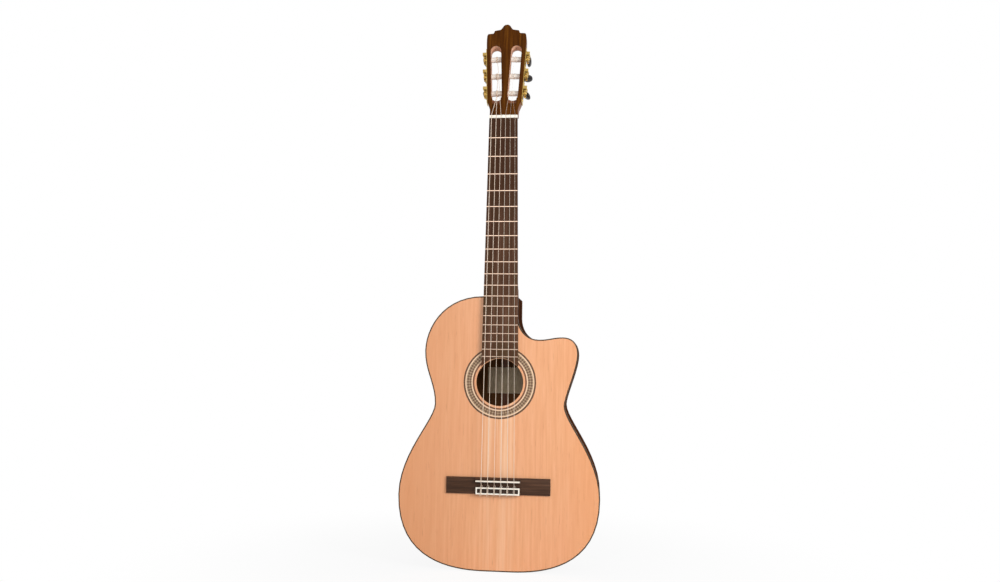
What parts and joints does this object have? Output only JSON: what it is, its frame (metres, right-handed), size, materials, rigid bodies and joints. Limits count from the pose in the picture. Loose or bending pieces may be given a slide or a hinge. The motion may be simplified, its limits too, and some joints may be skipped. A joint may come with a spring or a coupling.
{
  "type": "classical guitar",
  "caption": "Cutaway classical guitar with a cedar top, mosaic rosette, slotted headstock, nylon strings and geared tuning machines whose buttons turn the rollers.",
  "frame": {"origin": "middle of the tail's flat outer face, half way through the depth of the ribs at the tail", "axes": "+Z along the neck towards the head, +X towards the treble side, +Y from the soundboard towards the back"},
  "size_m": [0.357, 0.113, 0.9999],
  "materials": {
    "cedar_top": "glossy lacquer over straight-grained cedar",
    "rosette_mosaic": "inlaid rings of dark and pale wood",
    "rosewood": "satin lacquer over dark rosewood",
    "mahogany": "satin lacquer over mahogany",
    "spruce_inside": "bare sanded spruce",
    "head_veneer": "glossy lacquer over brown veneer",
    "bone": "polished bone colour",
    "fret_metal": "polished nickel silver",
    "gold_plate": "gold plated",
    "roller_white": "white plastic barrel with plated cog",
    "button_black": "glossy dark plastic on a plated worm",
    "nylon_treble": "clear nylon",
    "wound_bass": "silver-plated winding on a nylon core"
  },
  "bodies": {
    "guitar_body": {"soundboard": "cedar_top", "rosette": "rosette_mosaic", "back": "rosewood", "rib_bass": "rosewood", "rib_treble": "rosewood", "binding_top": "rosewood", "binding_back": "rosewood", "tail_graft": "rosewood", "tail_block": "mahogany", "lining_top": "spruce_inside", "lining_back": "spruce_inside", "top_bracing": "spruce_inside", "back_bracing": "spruce_inside", "neck": "mahogany", "fretboard": "rosewood", "fret_01": "fret_metal", "fret_02": "fret_metal", "fret_03": "fret_metal", "fret_04": "fret_metal", "fret_05": "fret_metal", "fret_06": "fret_metal", "fret_07": "fret_metal", "fret_08": "fret_metal", "fret_09": "fret_metal", "fret_10": "fret_metal", "fret_11": "fret_metal", "fret_12": "fret_metal", "fret_13": "fret_metal", "fret_14": "fret_metal", "fret_15": "fret_metal", "fret_16": "fret_metal", "fret_17": "fret_metal", "fret_18": "fret_metal", "fret_19": "fret_metal", "nut": "bone", "headstock": "mahogany", "headstock_veneer": "head_veneer", "tuner_plate_bass": "gold_plate", "tuner_plate_treble": "gold_plate", "bridge": "rosewood", "saddle": "bone", "tie_block_inlay": "bone", "string_1": "nylon_treble", "string_2": "nylon_treble", "string_3": "nylon_treble", "string_4": "wound_bass", "string_5": "wound_bass", "string_6": "wound_bass"},
    "button_1": {"button_1": "button_black"},
    "button_2": {"button_2": "button_black"},
    "button_3": {"button_3": "button_black"},
    "button_4": {"button_4": "button_black"},
    "button_5": {"button_5": "button_black"},
    "button_6": {"button_6": "button_black"},
    "roller_1": {"roller_1": "roller_white"},
    "roller_2": {"roller_2": "roller_white"},
    "roller_3": {"roller_3": "roller_white"},
    "roller_4": {"roller_4": "roller_white"},
    "roller_5": {"roller_5": "roller_white"},
    "roller_6": {"roller_6": "roller_white"}
  },
  "joints": [
    {"name": "button_1_turn", "type": "hinge", "parent": "guitar_body", "child": "button_1", "pos_m": [0.03769, -0.031, 0.8688], "axis": [0, 0.9816, -0.1908], "continuous": true},
    {"name": "roller_1_turn", "type": "hinge", "parent": "guitar_body", "child": "roller_1", "pos_m": [0.03242, -0.03277, 0.85971], "axis": [0.9989, -0.009, -0.0464], "continuous": true},
    {"name": "button_2_turn", "type": "hinge", "parent": "guitar_body", "child": "button_2", "pos_m": [0.03936, -0.02426, 0.90351], "axis": [0, 0.9816, -0.1908], "continuous": true},
    {"name": "roller_2_turn", "type": "hinge", "parent": "guitar_body", "child": "roller_2", "pos_m": [0.0341, -0.02602, 0.89442], "axis": [0.9989, -0.009, -0.0464], "continuous": true},
    {"name": "button_3_turn", "type": "hinge", "parent": "guitar_body", "child": "button_3", "pos_m": [0.04104, -0.01751, 0.93822], "axis": [0, 0.9816, -0.1908], "continuous": true},
    {"name": "roller_3_turn", "type": "hinge", "parent": "guitar_body", "child": "roller_3", "pos_m": [0.03577, -0.01928, 0.92913], "axis": [0.9989, -0.009, -0.0464], "continuous": true},
    {"name": "button_4_turn", "type": "hinge", "parent": "guitar_body", "child": "button_4", "pos_m": [-0.04104, -0.01751, 0.93822], "axis": [0, 0.9816, -0.1908], "continuous": true},
    {"name": "roller_4_turn", "type": "hinge", "parent": "guitar_body", "child": "roller_4", "pos_m": [-0.03577, -0.01928, 0.92913], "axis": [0.9989, 0.009, 0.0464], "continuous": true},
    {"name": "button_5_turn", "type": "hinge", "parent": "guitar_body", "child": "button_5", "pos_m": [-0.03936, -0.02426, 0.90351], "axis": [0, 0.9816, -0.1908], "continuous": true},
    {"name": "roller_5_turn", "type": "hinge", "parent": "guitar_body", "child": "roller_5", "pos_m": [-0.0341, -0.02602, 0.89442], "axis": [0.9989, 0.009, 0.0464], "continuous": true},
    {"name": "button_6_turn", "type": "hinge", "parent": "guitar_body", "child": "button_6", "pos_m": [-0.03769, -0.031, 0.8688], "axis": [0, 0.9816, -0.1908], "continuous": true},
    {"name": "roller_6_turn", "type": "hinge", "parent": "guitar_body", "child": "roller_6", "pos_m": [-0.03242, -0.03277, 0.85971], "axis": [0.9989, 0.009, 0.0464], "continuous": true}
  ],
  "couplings": [
    {"joint": "roller_1_turn", "follows": "button_1_turn", "ratio": -0.071429},
    {"joint": "roller_2_turn", "follows": "button_2_turn", "ratio": -0.071429},
    {"joint": "roller_3_turn", "follows": "button_3_turn", "ratio": -0.071429},
    {"joint": "roller_4_turn", "follows": "button_4_turn", "ratio": 0.071429},
    {"joint": "roller_5_turn", "follows": "button_5_turn", "ratio": 0.071429},
    {"joint": "roller_6_turn", "follows": "button_6_turn", "ratio": 0.071429}
  ]
}
